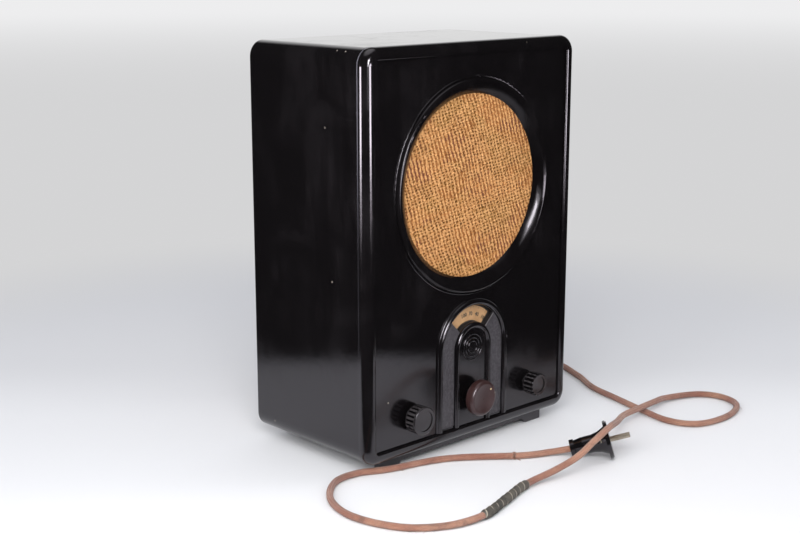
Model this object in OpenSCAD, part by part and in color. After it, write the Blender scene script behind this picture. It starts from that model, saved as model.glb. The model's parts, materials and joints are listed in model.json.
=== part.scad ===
// Mains table radio of about 1933: a moulded cabinet with a round loudspeaker, an arched dial,
// three knobs, a three-valve chassis, and a braided mains cord with its plug

/* [Cabinet] */
// Width of the cabinet
case_w = 278; // [268:1:310]
// Height of the cabinet above its underside
case_h = 379; // [372:1:420]
// Depth of the cabinet behind its front panel
case_d = 158; // [154:1:190]
// Thickness of the moulded walls
wall = 4; // [3:0.5:5]
// Radius of the cabinet's corners seen from the front
corner_r = 16; // [14:1:22]
// Width of the rounded frame round the front panel
frame_w = 12; // [11:0.5:13]
// How far the frame stands out of the front panel
frame_out = 2.5; // [1.5:0.5:3]
// How far the frame reaches back along the sides
frame_back = 9.4; // [7:0.2:14]
// How far the side walls lie inside the frame
side_step = 0.8; // [0.4:0.1:1.5]

/* [Base] */
// Height of the cabinet's underside above the table
foot_h = 12; // [10:1:24]
// Height of the gap under the rails, which the feet leave
foot_drop = 5; // [3:0.5:8]
// How far the base rails lie inside the cabinet's sides
base_in = 27; // [20:1:36]
// Thickness of the base rails
rail_t = 8; // [6:1:14]
// Width of a foot seen from the front
foot_w = 22; // [16:1:30]
// How far the rear feet lie inside the side rails
rear_in = 32; // [20:1:40]

/* [Loudspeaker] */
// Gap between the frame's top and the ring round the opening
speaker_above = 19; // [14:0.5:24]
// Gap between the ring and the arch below it
speaker_below = 3.5; // [2:0.5:8]
// Width of the moulded ring round the opening
ring_w = 17; // [14:0.5:19]
// Height of the moulded ring above the panel
ring_out = 4; // [2:0.5:5]
// Width of the board round the opening
board_rim = 19; // [16:1:22]
// Thickness of the loudspeaker board
board_t = 8; // [6:1:12]
// Depth of the loudspeaker basket
basket_d = 50; // [45:1:54]

/* [Dial] */
// Height of the dial's axis above the cabinet's underside
dial_y = 88.5; // [86:0.5:90]
// Inner radius of the dial window
window_r1 = 24.6; // [24.6:0.2:30]
// Outer radius of the dial window
window_r2 = 41; // [38:0.5:41]
// Radius of the inner ridge of the arch
inner_ridge_r = 21.5; // [20:0.5:22]
// Height of the inner ridge
inner_ridge_h = 3; // [2:0.25:3.5]
// Radius of the outer ridge of the arch
outer_ridge_r = 45.1; // [45:0.1:50]
// Height of the outer ridge
outer_ridge_h = 3.9; // [2.5:0.1:4]
// Radius of the dial disc
dial_r = 42; // [41.5:0.1:43]

/* [Knobs] */
// How far the knobs' faces stand out of the panel
knob_reach = 17; // [15:0.5:24]
// Gap between the knobs and the panel
knob_gap = 3.7; // [3:0.1:5]
// Distance from the middle to the side knobs
knob_x = 80; // [74:1:84]
// Height of the side knobs
knob_y = 36.5; // [34:0.5:38]
// Height of the tuning knob
tuning_y = 40; // [39:0.5:41]
// Radius of the left knob
left_r = 13.4; // [11:0.1:15]
// Radius of the right knob
right_r = 11.4; // [10:0.1:14]
// Radius of the tuning knob
tuning_r = 17.5; // [16:0.5:20]
// Thickness of the tuning knob's rim
tuning_t = 10.3; // [9:0.1:11]
// Radius of the control shafts
shaft_r = 3; // [2.5:0.25:3.5]

/* [Chassis] */
// Height of the chassis deck above the cabinet's underside
deck_y = 56; // [55:0.5:58]
// Thickness of the chassis sheet
sheet = 1.2; // [0.8:0.1:2]
// Depth of the chassis front behind the panel
chassis_front = 16; // [16:0.5:18]
// Radius of the tuning capacitor's vanes
vane_r = 26; // [24:0.5:27]
// Number of vanes on the tuning rotor
vane_count = 7; // [4:1:8]
// Radius of the valve bulbs
bulb_r = 21; // [18:1:22]
// Height of the valve bulbs
bulb_h = 74; // [64:1:80]

/* [Back] */
// Thickness of the back cover
cover_t = 3; // [2:0.5:4]
// Radius of the wander-plug sockets' bores
socket_r = 2; // [1.5:0.25:2.5]
// Distance between the sockets
socket_pitch = 19; // [14:1:20]

/* [Cord and plug] */
// Diameter of the mains cord
cord_d = 6.4; // [5:0.2:6.6]
// Diameter of the tape wound round the cord
tape_d = 9.4; // [8:0.2:9.6]
// Radius of the plug's face
plug_r = 18.5; // [17:0.5:20]
// Length of the plug's body
plug_l = 35; // [30:1:38]
// Radius of the plug's pins
pin_r = 2.4; // [2:0.1:2.5]
// Length of the plug's pins
pin_l = 19; // [15:0.5:20]
// Distance between the plug's pins
pin_pitch = 19; // [12:0.5:20]

/* [Hidden] */
$fn = 72;
fit = 0.05;           // radial play of a shaft in its bush or knob
gap = 0.3;            // clearance between neighbours that do not touch
play = 1;             // clearance of a shaft in the panel

// Cabinet sizes that follow
shell_w = case_w - 2 * side_step;
shell_h = case_h - 2 * side_step;
shell_r = corner_r - side_step;
inner_w = shell_w - 2 * wall;
inner_h = shell_h - 2 * wall;
inner_r = shell_r - wall;
floor_y = side_step + wall;
arch_top = dial_y + outer_ridge_r + outer_ridge_h;
ring_top = case_h - frame_w - speaker_above;
speaker_r = (ring_top - arch_top - speaker_below) / 2 - ring_w;
speaker_y = ring_top - ring_w - speaker_r;
base_w = case_w - 2 * base_in;
cover_gap = 0.6;
cover_in = 0.5;
cover_back = case_d - cover_in;
cover_front = cover_back - cover_t;
bush_out = 3;
panel_y = (knob_reach - case_d - bush_out) / 2;
rail_front = frame_back + 0.2;
rail_back = case_d - 17;
rail_h = foot_h - foot_drop + side_step;

// Loudspeaker depths behind the panel
ring_seat = 6;
ring_edge = 3;         // rounding at the ring's outer edge
ring_turn = 20;        // slope where the fall to the cloth starts
cloth_t = 0.7;
cloth_front = wall + gap;
board_front = cloth_front + cloth_t + gap;
board_back = board_front + board_t;
surround_t = 1;
basket_front = board_back + surround_t;
basket_t = 2;
plate_front = basket_front + basket_d;
plate_t = 3;
magnet_t = 14;
board_half = speaker_r + board_rim;
screw_half = board_half - 9;

// Chassis, drive and capacitor places
chassis_w = inner_w - 36;
chassis_back = cover_front - 6.5;
bolt_r = 2;
bolt_head_r = 3.8;
bolt_x = base_w / 2 - rail_t - bolt_head_r - 2;
flange_w = chassis_w / 2 - bolt_x + 8;
bush_r = 5;
bush_front = chassis_front - 7;
bush_back = chassis_front + 9;
side_bead = 1.5;       // half the width of the thin bead outside the arch
ROUNDEL = [[12.7, 0.9], [9.2, 0.8], [5.8, 0.8]]; // its beads: middle radius and half width
dial_t = 1.2;
dial_front = wall + 2;
scale_t = 0.3;
scale_r1 = 25;
scale_r2 = 39.4;
roller_r = dial_y - tuning_y - dial_r - 0.1;
roller_flange_r = roller_r + 2;
frame_front = chassis_front + 10;
vane_pitch = 5;
vane_t = 0.8;
frame_depth = (vane_count + 1) * vane_pitch + 4;
frame_back_d = frame_front + frame_depth;
hub_r = 6;
knob_edge = 3.4;      // rounding of the tuning knob's rim
dish_d = 1.5;         // depth of the hollow in its face
dish_r = (pow(tuning_r - knob_edge, 2) + dish_d * dish_d) / (2 * dish_d);
grub_turn = 270;
scale_end = 47.5;     // angle of the paper's right-hand end, from the x axis
rest_turn = -10;      // how far the rotor stands out of full mesh at rest

// Reaction capacitor, between two square end plates behind its bush
reaction_front = bush_back + gap;
reaction_r = 15;
reaction_half = 21;
reaction_gap = 14;
reaction_back = reaction_front + 1.6 + reaction_gap;

// Valves: across, depth
VALVES = [[-84, chassis_back - 30], [-30, chassis_back - 26], [18, chassis_back - 26]];
socket_h = 11;
valve_socket_r = 19;
base_h = 28;
base_r = 17;
valve_pin_r = 1.6;
valve_pin_at = 9;
anode_r = 9;
anode_h = 34;
stem_r = 5;
valve_base_y = deck_y + socket_h;
bulb_y = valve_base_y + base_h;

// Aerial coil, mains transformer, smoothing can and resistor board
coil_x = 40.2 - chassis_w / 2;
coil_depth = 58;
coil_r = 21;
coil_h = 62;
coil_wall = 1.4;
winding_t = 1.2;
winding_h = 36;
winding_up = 14;
core_x = chassis_w / 2 - 34.2;
core_front = 84;
core_t = 24;
core_h = 54;
yoke = 11;
limb = 20;
core_window = 11;
core_w = limb + 2 * (core_window + yoke);
bobbin_out = 9;
can_x = chassis_w / 2 - 38.2;
can_depth = 44;
can_w = 50;
can_t = 26;
can_h = 48;
resistor_front = 64;
resistor_w = 120;
resistor_l = 36;
resistor_pitch = 24;
resistor_r = 3.2;

// Back fittings
strip_y = 34;
strip_h = 20;
strip_w = 4 * socket_pitch + 12;
strip_t = 4;
strip_x = 87 - case_w / 2;
bush_x = case_w / 2 - 39;
bush_y = 20;
relief_l = 24;

// The mains cord's route from the strain relief to the plug, chosen by hand
collar_r = 8.4;
plug_tilt = atan((plug_r - collar_r) / plug_l);
plug_turn = -48;
plug_roll = -19;
CORD = concat([[bush_x, case_d + bush_out + relief_l + panel_y, foot_h + bush_y]],
    [[105, 142, 28], [128, 168, 14], [190, 166, 3.4], [245, 116, 3.3], [267, 56, 3.3],
    [246, -3, 3.3], [224, -42, 3.3], [212, -84, 3.3], [202, -121, 3.3], [193, -165, 3.3],
    [208, -193, 3.3], [250, -199, 3.3], [287, -185, 3.3], [298, -158, 3.3], [285, -135, 3.6],
    [246, -124, 5.6], [220, -129, 8.8], [187, -134, 10.6], [153.1, -139.7, 12.4],
    [121.2, -156.1, 17.6], [89.7, -176, 27.4], [59.6, -193.2, 35.5], [32.6, -196.6, 29],
    [12.7, -194.7, 19.2], [-11.2, -188.4, 10.7], [-44, -183, 4.8], [-86, -195, 4.8],
    [-125, -205, 4.8], [-160, -197, 3.5], [-190, -172, 3.3], [-204, -128, 3.3],
    [-193.9, -88.1, 3.3], [-165, -59.4, 3.3], [-135.5, -56.1, 3.3], [-106.3, -68.6, 3.3],
    [-47.1, -86.9, 3.3], [9, -129.4, 3.3], [35, -144, 4.2]],
    [[47, -158, collar_r * cos(plug_tilt) + 0.1]]);
TAPE_FROM = 26;
TAPE_TO = 28;
rings = 2;            // rings of the cord between two of its points
sides = 12;

// The radio is drawn on its front panel: x to the right, y up from the cabinet's underside, and
// depth counted backwards from the panel
module stand() translate([0, panel_y, foot_h]) rotate([90, 0, 0]) children();
module between(a, b) translate([0, 0, -b]) linear_extrude(b - a) children();
module upright(x, y, depth) translate([x, y, -depth]) rotate([-90, 0, 0]) children();
module rounded(w, h, r) {
    square([w - 2 * r, h], center = true);
    square([w, h - 2 * r], center = true);
    for (x = [-1, 1], y = [-1, 1]) translate([x * (w / 2 - r), y * (h / 2 - r)]) circle(r);
}
module ring(r1, r2) difference() {
    circle(r2);
    circle(r1);
}
module half_disc(r) intersection() {
    circle(r);
    translate([-r, -r]) square([2 * r, r]);
}
module corners(x, y) for (i = [-1, 1], j = [-1, 1]) translate([i * x, j * y]) children();

// The frame's section: across from the outer edge, and out of the panel
module frame_section() {
    frame_r = frame_w - frame_out - 1.5;
    intersection() {
        translate([0, -frame_back]) square([frame_w, frame_back + frame_out]);
        union() {
            translate([frame_r, frame_out - frame_r]) circle(frame_r);
            translate([0, -frame_back]) square([frame_r, frame_back + frame_out - frame_r]);
            translate([frame_r, -frame_back]) square([frame_w - frame_r - frame_out, frame_back + frame_out]);
            translate([frame_w - frame_out, 0]) circle(frame_out);
            translate([frame_r, -frame_back]) square([frame_w - frame_r, frame_back]);
        }
    }
}
module frame_run(length) rotate([90, 0, 180]) translate([0, 0, -length / 2]) linear_extrude(length)
    frame_section();
module front_frame() {
    for (turn = [0, 180]) rotate([0, 0, turn]) translate([case_w / 2, 0, 0])
        frame_run(case_h - 2 * corner_r);
    for (turn = [90, 270]) rotate([0, 0, turn]) translate([case_h / 2, 0, 0])
        frame_run(case_w - 2 * corner_r);
    for (k = [0:3]) {
        x = k == 0 || k == 3 ? 1 : -1;
        y = k < 2 ? 1 : -1;
        translate([x * (case_w / 2 - corner_r), y * (case_h / 2 - corner_r), 0]) rotate([0, 0, 90 * k])
            rotate_extrude(angle = 90) translate([corner_r, 0]) mirror([1, 0]) frame_section();
    }
}

// One bead of the arch over the dial: two legs and a half circle, on the panel's face
module half_round(r) intersection() {
    circle(r);
    translate([-r, 0]) square([2 * r, r]);
}
module ridge(radius, height) {
    translate([0, dial_y, 0]) rotate_extrude(angle = 180) translate([radius, 0]) half_round(height);
    for (x = [-radius, radius]) translate([x, dial_y, 0]) rotate([90, 0, 0])
        linear_extrude(dial_y - frame_w - gap) half_round(height);
}
module window_outline() intersection() {
    ring(window_r1, window_r2);
    polygon([[0, 0], [window_r2 + 10, window_r2 + 10], [-window_r2 - 10, window_r2 + 10]]);
}
module board_places() translate([0, speaker_y]) corners(screw_half, screw_half) children();
module cover_places() translate([0, case_h / 2]) corners(inner_w / 2 - 7, inner_h / 2 - 7) children();
module bolt_places() for (x = [-1, 1], d = [chassis_front + 24, chassis_back - 24])
    upright(x * bolt_x, 0, d) children();

module cabinet_shell() color("#141214") stand() difference() {
    union() {
        translate([0, case_h / 2]) between(frame_back, case_d) difference() {
            rounded(shell_w, shell_h, shell_r);
            rounded(inner_w, inner_h, inner_r);
        }
        translate([0, case_h / 2]) between(cover_front - 14, cover_front) intersection() {
            rounded(shell_w - 2, shell_h - 2, shell_r - 1);
            corners(inner_w / 2 - 6, inner_h / 2 - 6) square([16, 16], center = true);
        }
    }
    between(cover_front - 10, cover_front + 1) cover_places() circle(1.5 + fit);
    bolt_places() cylinder(r = bolt_r + gap, h = floor_y + 1);
}
module front_moulding() color("#141214") stand() difference() {
    union() {
        translate([0, case_h / 2]) difference() {
            union() {
                between(0, wall) rounded(shell_w - 4, shell_h - 4, shell_r - 2);
                front_frame();
            }
            between(wall, frame_back + 1) rounded(inner_w, inner_h, inner_r);
        }
        between(wall - 1, board_front) board_places() circle(5);
        translate([0, speaker_y, 0]) rotate_extrude() translate([speaker_r + ring_w - 0.9, 0]) circle(0.95);
        translate([0, dial_y, 0]) rotate_extrude() {
            for (bead = ROUNDEL) translate([bead[0], 0]) half_round(bead[1]);
            translate([0, -1]) square([ROUNDEL[0][0], 1.3]);
        }
    }
    translate([0, speaker_y]) between(-ring_out - 1, wall + 1) circle(speaker_r + ring_seat + gap);
    translate([0, dial_y]) between(-5, wall + 1) window_outline();
    between(-5, wall + 1) control_places() circle(shaft_r + play);
    between(wall - 1.8, board_front + 1) board_places() circle(1.7 + fit);
}

// The ring round the loudspeaker: a small rounding at its outer edge, then one long even fall to the cloth
module speaker_ring() color("#141214") stand() translate([0, speaker_y, 0]) {
    reach = ring_w - 2 - ring_edge;
    rise = ring_out + wall - ring_edge;
    more = (reach * reach + rise * rise - ring_edge * ring_edge)
        / (2 * (ring_edge - reach * sin(ring_turn) + rise * cos(ring_turn)));
    crest = speaker_r + reach;
    meet = crest - ring_edge * sin(ring_turn);
    rotate_extrude() intersection() {
        union() {
            translate([speaker_r, -wall]) square([ring_seat, wall]);
            translate([speaker_r, 0]) square([ring_w, ring_out]);
        }
        union() {
            intersection() {
                translate([crest + more * sin(ring_turn), ring_out - ring_edge - more * cos(ring_turn)])
                    circle(more + ring_edge, $fn = 240);
                translate([0, -wall - 1]) square([meet, wall + ring_out + 2]);
            }
            translate([meet - 1, -wall - 1]) square([crest + ring_edge - meet + 1, wall + 1 + ring_out - ring_edge]);
            translate([crest, ring_out - ring_edge]) circle(ring_edge);
        }
    }
}
module dial_arch() color("#141214") stand() {
    ridge(outer_ridge_r - 0.9, outer_ridge_h - 0.9);
    ridge(outer_ridge_r + outer_ridge_h - side_bead, side_bead);
    ridge(inner_ridge_r, inner_ridge_h);
}
module control_places() {
    translate([-knob_x, knob_y]) children();
    translate([0, tuning_y]) children();
    translate([knob_x, knob_y]) children();
}

// Base rails and feet
module cross_rails() color("#1a181a") stand() for (d = [rail_front, rail_back - rail_t]) between(d, d + rail_t)
    translate([-base_w / 2, side_step - rail_h]) square([base_w, rail_h]);
module side_rails() color("#1a181a") stand() for (x = [-base_w / 2, base_w / 2 - rail_t])
    between(rail_front + rail_t, rail_back - rail_t) translate([x, side_step - rail_h]) square([rail_t, rail_h]);
module foot(end, d) between(d, d + rail_t) polygon([[end, -foot_h], [end, foot_drop - foot_h],
    [end - foot_w - foot_drop, foot_drop - foot_h], [end - foot_w, -foot_h]]);
module feet() color("#1a181a") stand() for (turn = [0, 1]) mirror([turn, 0, 0]) {
    foot(base_w / 2, rail_front);
    foot(base_w / 2 - rear_in, rail_back - rail_t);
}
module chassis_bolts() color("#8f8c86") stand() bolt_places() {
    translate([0, 0, side_step - 2.6]) cylinder(r = bolt_head_r, h = 2.6);
    translate([0, 0, side_step]) cylinder(r = bolt_r, h = wall + sheet + 1);
    translate([0, 0, floor_y + sheet]) cylinder(r = 3.6, h = 3, $fn = 6);
}

// Loudspeaker
module speaker_cloth() color("#b98a52") stand() translate([0, speaker_y])
    between(cloth_front, cloth_front + cloth_t) circle(speaker_r + 8);
module speaker_board() color("#a07c50") stand() between(board_front, board_back) difference() {
    translate([0, speaker_y]) rounded(2 * board_half, 2 * board_half, 6);
    translate([0, speaker_y]) circle(speaker_r + 1);
    board_places() circle(1.7 + gap);
}
module board_screws() color("#8f8c86") stand() {
    between(wall - 1.6, board_back) board_places() circle(1.7);
    between(board_back, board_back + 2) board_places() circle(3.4);
}
module speaker_basket() color("#4a4d50") stand() translate([0, speaker_y, 0]) difference() {
    union() {
        between(basket_front, basket_front + basket_t) ring(speaker_r - 2, speaker_r + 10);
        between(plate_front, plate_front + plate_t) circle(34);
        for (k = [0:3]) rotate([0, 0, 45 + 90 * k]) rotate([90, 0, 0]) translate([0, 0, -6])
            linear_extrude(12) polygon([[speaker_r - 1, -basket_front - 1], [speaker_r + 8, -basket_front - 1],
                [33, -plate_front - plate_t], [26, -plate_front]]);
    }
    between(plate_front - 1, plate_front + plate_t + 1) circle(7);
}
module speaker_cone() color("#c9b48c") stand() translate([0, speaker_y, 0]) rotate_extrude() {
    cone_d = basket_front + basket_d * 0.72;
    translate([speaker_r - 8, -basket_front]) square([17, surround_t]);
    polygon([[speaker_r - 6, -basket_front + surround_t], [speaker_r - 4.8, -basket_front + surround_t],
        [4, -cone_d - 0.8], [1.3, -cone_d - 0.8], [1.3, -cone_d], [3.6, -cone_d]]);
}
module speaker_magnet() color("#5b2f26") stand() translate([0, speaker_y, 0])
    between(plate_front + plate_t, plate_front + plate_t + magnet_t) {
        difference() {
            ring(17, 31);
            translate([-32, -32]) square([64, 32]);
        }
        for (x = [-31, 17]) translate([x, -26]) square([14, 26.5]);
    }
module speaker_coil() color("#2b2019") stand() translate([0, speaker_y, 0]) difference() {
    between(plate_front + plate_t, plate_front + plate_t + magnet_t - 2)
        translate([-16.7, -24]) square([33.4, 20]);
    between(plate_front + plate_t + 3.5, plate_front + plate_t + 6.5) translate([-2.5, -25]) square([5, 22]);
}
module armature_reed() color("#b9bbbd") stand() translate([0, speaker_y, 0]) {
    cone_d = basket_front + basket_d * 0.72;
    between(cone_d - 3, plate_front + plate_t + 4) circle(1.25);
    between(plate_front + plate_t + 4, plate_front + plate_t + 6) translate([-2, -23]) square([4, 25]);
}

// Chassis
module chassis() color("#85888a") stand() difference() {
    union() {
        chassis_box(0, floor_y);
        for (x = [-chassis_w / 2, chassis_w / 2 - flange_w]) between(chassis_front, chassis_back)
            translate([x, floor_y]) square([flange_w, sheet]);
    }
    between(chassis_front - 1, chassis_front + sheet + 1) control_places() circle(bush_r + fit);
    bolt_places() cylinder(r = bolt_r + gap, h = floor_y + sheet + 1);
    for (v = VALVES) upright(v[0], deck_y - sheet - 1, v[1]) cylinder(r = 14, h = sheet + 2);
    between(chassis_back - sheet - 1, chassis_back + 1) translate([strip_x - strip_w / 2 + 5, strip_y - 6])
        square([strip_w - 10, 12]);
}
module chassis_box(in, bottom) difference() {
    between(chassis_front, chassis_back) translate([-chassis_w / 2, bottom]) square([chassis_w, deck_y - bottom]);
    between(chassis_front + sheet, chassis_back - sheet)
        translate([-chassis_w / 2 + sheet, bottom - 1]) square([chassis_w - 2 * sheet, deck_y - bottom - sheet + 1]);
}
module shaft_bushes() color("#b08d4a") stand() control_places() difference() {
    union() {
        between(bush_front, bush_back) circle(bush_r);
        between(chassis_front - 2, chassis_front) circle(7);
        between(chassis_front + sheet, chassis_front + sheet + 3) circle(7.5, $fn = 6);
    }
    between(bush_front - 1, bush_back + 1) circle(shaft_r + fit);
}

// Tuning capacitor: a frame with two end plates, fixed plates, and vanes that turn between them
module capacitor_frame() color("#9a9c9e") stand() {
    half = vane_r + 9;
    difference() {
        for (a = [frame_front, frame_back_d - 2]) between(a, a + 2)
            translate([-half, deck_y]) square([2 * half, dial_y - deck_y + 14]);
        between(frame_front - 1, frame_back_d + 1) translate([0, dial_y]) circle(shaft_r + fit);
    }
    between(frame_front + 2, frame_back_d - 2) translate([-half, deck_y]) square([2 * half, 2]);
    between(frame_front + 2, frame_back_d - 2) for (x = [-half + 3, half - 3]) translate([x, dial_y + 10]) circle(2);
}
module stator_plate(r) difference() {
    translate([-r - 4.5, -r - 1]) square([2 * r + 9, r]);
    circle(hub_r + 1);
}
module rods(r) for (x = [-r - 3, r + 3]) translate([x, -5]) circle(1.5);
module tuning_stator() color("#c3c5c6") stand() translate([0, dial_y, 0]) {
    for (k = [0:vane_count]) between(frame_front + 4 + k * vane_pitch, frame_front + 4 + k * vane_pitch + vane_t)
        stator_plate(vane_r);
    between(frame_front + 2, frame_back_d - 2) rods(vane_r);
}
module tuning_rotor() color("#c3c5c6") stand() translate([0, dial_y, 0]) rotate([0, 0, rest_turn]) {
    for (k = [0:vane_count - 1]) {
        d = frame_front + 4 + (k + 0.5) * vane_pitch;
        between(d, d + vane_t) difference() {
            half_disc(vane_r);
            circle(shaft_r + fit);
        }
    }
    between(frame_front + 3, frame_back_d - 3) ring(shaft_r + fit, hub_r);
}
module rotor_shaft() color("#b9bbbd") stand() between(dial_front - 1, frame_back_d + 4)
    translate([0, dial_y]) circle(shaft_r);

// Dial disc, its paper scale, and the drive from the tuning shaft
module dial_disc() color("#2a2522") stand() translate([0, dial_y, 0]) {
    between(dial_front, dial_front + dial_t) ring(shaft_r + fit, dial_r);
    between(dial_front + dial_t, dial_front + dial_t + 7) ring(shaft_r + fit, 8);
}
module dial_scale() color("#c9a86a") stand() translate([0, dial_y, 0]) rotate([0, 0, scale_end])
    rotate_extrude(angle = 215) translate([scale_r1, -dial_front]) square([scale_r2 - scale_r1, scale_t]);
module friction_roller() color("#b08d4a") stand() translate([0, tuning_y, 0]) difference() {
    union() {
        between(dial_front - 1.2, dial_front + dial_t + 1.2) circle(roller_r);
        between(dial_front - 1.2, dial_front - gap) circle(roller_flange_r);
        between(dial_front + dial_t + gap, dial_front + dial_t + 1.2) circle(roller_flange_r);
    }
    between(dial_front - 2, dial_front + dial_t + 2) circle(shaft_r + fit);
}
module control_shaft(back) between(-knob_reach + 4, back) circle(shaft_r);
module tuning_shaft() color("#b9bbbd") stand() translate([0, tuning_y, 0]) {
    control_shaft(bush_back + 6);
    between(bush_back + gap, bush_back + gap + 3) circle(shaft_r + 2);
}

// Knobs: lathe-turned blanks with a dished face, then the grip is cut in
module knob_blank(r, back) difference() {
    rotate_extrude() difference() {
        union() {
            translate([0, -back]) square([r - 1, knob_reach + back]);
            translate([0, 1 - back]) square([r, knob_reach + back - 2]);
            translate([r - 1, knob_reach - 1]) circle(1);
            translate([r - 1, 1 - back]) circle(1);
        }
        translate([0, knob_reach - 1]) square([r - 3.4, 2]);
        translate([-1, -back - 1]) square([shaft_r + fit + 1, knob_reach + back - 3]);
        translate([-2 * r, -back - 2]) square([2 * r, knob_reach + back + 4]);
    }
    grub_hole(r, 0, knob_reach - 6);
}
module grub_hole(r, angle, out) rotate([0, 0, angle]) translate([shaft_r, 0, out]) rotate([0, 90, 0])
    cylinder(r = 1.5 + fit, h = r);
module grub(r, angle, out) rotate([0, 0, angle]) translate([shaft_r + 0.2, 0, out]) rotate([0, 90, 0])
    difference() {
        cylinder(r = 1.5, h = r - shaft_r - 0.9);
        translate([-2, -0.3, r - shaft_r - 1.6]) cube([4, 0.6, 2]);
    }
module tuning_knob() color("#3c1712") stand() translate([0, tuning_y, 0]) difference() {
    rotate_extrude() difference() {
        union() {
            translate([0, knob_gap]) square([7.5, knob_reach - knob_gap]);
            translate([0, knob_reach - tuning_t]) square([tuning_r - knob_edge, tuning_t]);
            translate([0, knob_reach - tuning_t + knob_edge]) square([tuning_r, tuning_t - 2 * knob_edge]);
            for (y = [knob_reach - knob_edge, knob_reach - tuning_t + knob_edge])
                translate([tuning_r - knob_edge, y]) circle(knob_edge);
        }
        translate([0, knob_reach + dish_r - dish_d]) circle(dish_r, $fn = 360);
        translate([-1, 0]) square([shaft_r + fit + 1, knob_reach - 3.5]);
        translate([-30, 0]) square([30, 60]);
    }
    grub_hole(tuning_r, grub_turn, knob_reach - tuning_t + 3);
    index_place() cylinder(r = 0.9 + fit, h = 4, center = true);
}
module index_place() rotate([0, 0, 41]) translate([tuning_r - 5.4, 0, knob_reach - 0.8]) children();
module tuning_grub_screw() color("#c9a24e") stand() translate([0, tuning_y, 0])
    grub(tuning_r - 0.3, grub_turn, knob_reach - tuning_t + 3);
module index_dot() color("#e3cf9a") stand() translate([0, tuning_y, 0]) index_place()
    translate([0, 0, -1.4]) cylinder(r = 0.9, h = 2);
module reaction_knob() color("#19171a") stand() translate([-knob_x, knob_y, 0]) difference() {
    knob_blank(left_r, -knob_gap);
    for (k = [0:19]) rotate([0, 0, 18 * k + 9]) translate([left_r - 1.2, -1, knob_gap + 1.9])
        cube([2, 2, knob_reach - knob_gap - 3.9]);
}
module switch_knob() color("#19171a") stand() translate([knob_x, knob_y, 0]) difference() {
    knob_blank(right_r, -knob_gap);
    for (k = [0:15]) rotate([0, 0, 22.5 * k + 11.25]) translate([right_r, 0, knob_gap + 2])
        cylinder(r = 1.4, h = knob_reach);
}
module reaction_grub_screw() color("#c9a24e") stand() translate([-knob_x, knob_y, 0])
    grub(left_r - 1, 0, knob_reach - 6);
module switch_grub_screw() color("#c9a24e") stand() translate([knob_x, knob_y, 0])
    grub(right_r - 1, 0, knob_reach - 6);

// Reaction capacitor behind the left knob
module reaction_capacitor() color("#4a3220") stand() translate([-knob_x, knob_y, 0]) {
    difference() {
        for (a = [reaction_front, reaction_back]) between(a, a + 1.6) rounded(2 * reaction_half, 2 * 17, 3);
        between(reaction_front - 1, reaction_back + 3) circle(shaft_r + fit);
    }
    between(reaction_front + 1.6, reaction_back) rods(reaction_r);
    for (k = [0:2]) between(reaction_front + 3.6 + k * 4, reaction_front + 4.4 + k * 4) difference() {
        translate([-reaction_r - 4.5, -16]) square([2 * reaction_r + 9, 15]);
        circle(hub_r + 1);
    }
}
module reaction_rotor() color("#c3c5c6") stand() translate([-knob_x, knob_y, 0]) rotate([0, 0, 120]) {
    for (k = [0:1]) between(reaction_front + 5.6 + k * 4, reaction_front + 6.4 + k * 4) difference() {
        half_disc(reaction_r);
        circle(shaft_r + fit);
    }
    between(reaction_front + 2.2, reaction_back - 0.6) ring(shaft_r + fit, hub_r - 1);
}
module reaction_shaft() color("#b9bbbd") stand() translate([-knob_x, knob_y, 0]) control_shaft(reaction_back + 4);

// Rotary switch behind the right knob
module band_switch() color("#4a3220") stand() translate([knob_x, knob_y, 0]) {
    difference() {
        for (a = [bush_back + gap, bush_back + 12]) between(a, a + 1.6) rounded(36, 34, 4);
        between(bush_back - 1, bush_back + 15) circle(shaft_r + fit);
    }
    between(bush_back + gap + 1.6, bush_back + 12) for (x = [-15, 15]) translate([x, 0]) circle(1.8);
    between(bush_back + 13.6, bush_back + 15) for (a = [30:30:150]) rotate([0, 0, a])
        translate([12, 0]) circle(1.6);
}
module switch_wiper() color("#b08d4a") stand() translate([knob_x, knob_y, 0])
    between(bush_back + 5, bush_back + 7) difference() {
        union() {
            circle(6);
            rotate([0, 0, 30]) translate([0, -2]) square([11.5, 4]);
        }
        circle(shaft_r + fit);
    }
module switch_shaft() color("#b9bbbd") stand() translate([knob_x, knob_y, 0]) control_shaft(bush_back + 17);

// Parts on the deck
module aerial_coil() color("#7a5a34") stand() upright(coil_x, deck_y, coil_depth) difference() {
    cylinder(r = coil_r, h = coil_h);
    translate([0, 0, -1]) cylinder(r = coil_r - coil_wall, h = coil_h + 2);
}
module coil_winding() color("#8d3b1f") stand() upright(coil_x, deck_y + winding_up, coil_depth) difference() {
    cylinder(r = coil_r + winding_t, h = winding_h);
    translate([0, 0, -1]) cylinder(r = coil_r, h = winding_h + 2);
}
module transformer_core() color("#3d3a38") stand() translate([core_x, deck_y, 0])
    between(core_front, core_front + core_t) difference() {
        translate([-core_w / 2, 0]) square([core_w, core_h]);
        for (x = [-limb / 2 - core_window, limb / 2]) translate([x, yoke])
            square([core_window, core_h - 2 * yoke]);
    }
module transformer_coil() color("#7d6a45") stand() translate([core_x, deck_y, 0]) difference() {
    half = limb / 2 + core_window - 0.5;
    between(core_front - bobbin_out, core_front + core_t + bobbin_out)
        translate([-half, yoke + 0.5]) square([2 * half, core_h - 2 * yoke - 1]);
    between(core_front - gap, core_front + core_t + gap)
        translate([-limb / 2 - gap, 0]) square([limb + 2 * gap, core_h + 6]);
}
module valve_sockets() color("#3a241a") stand() for (v = VALVES) upright(v[0], deck_y, v[1]) difference() {
    cylinder(r = valve_socket_r, h = socket_h);
    for (k = [0:4]) rotate([0, 0, 72 * k]) translate([valve_pin_at, 0, -1])
        cylinder(r = valve_pin_r + fit, h = socket_h + 2);
}
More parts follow.
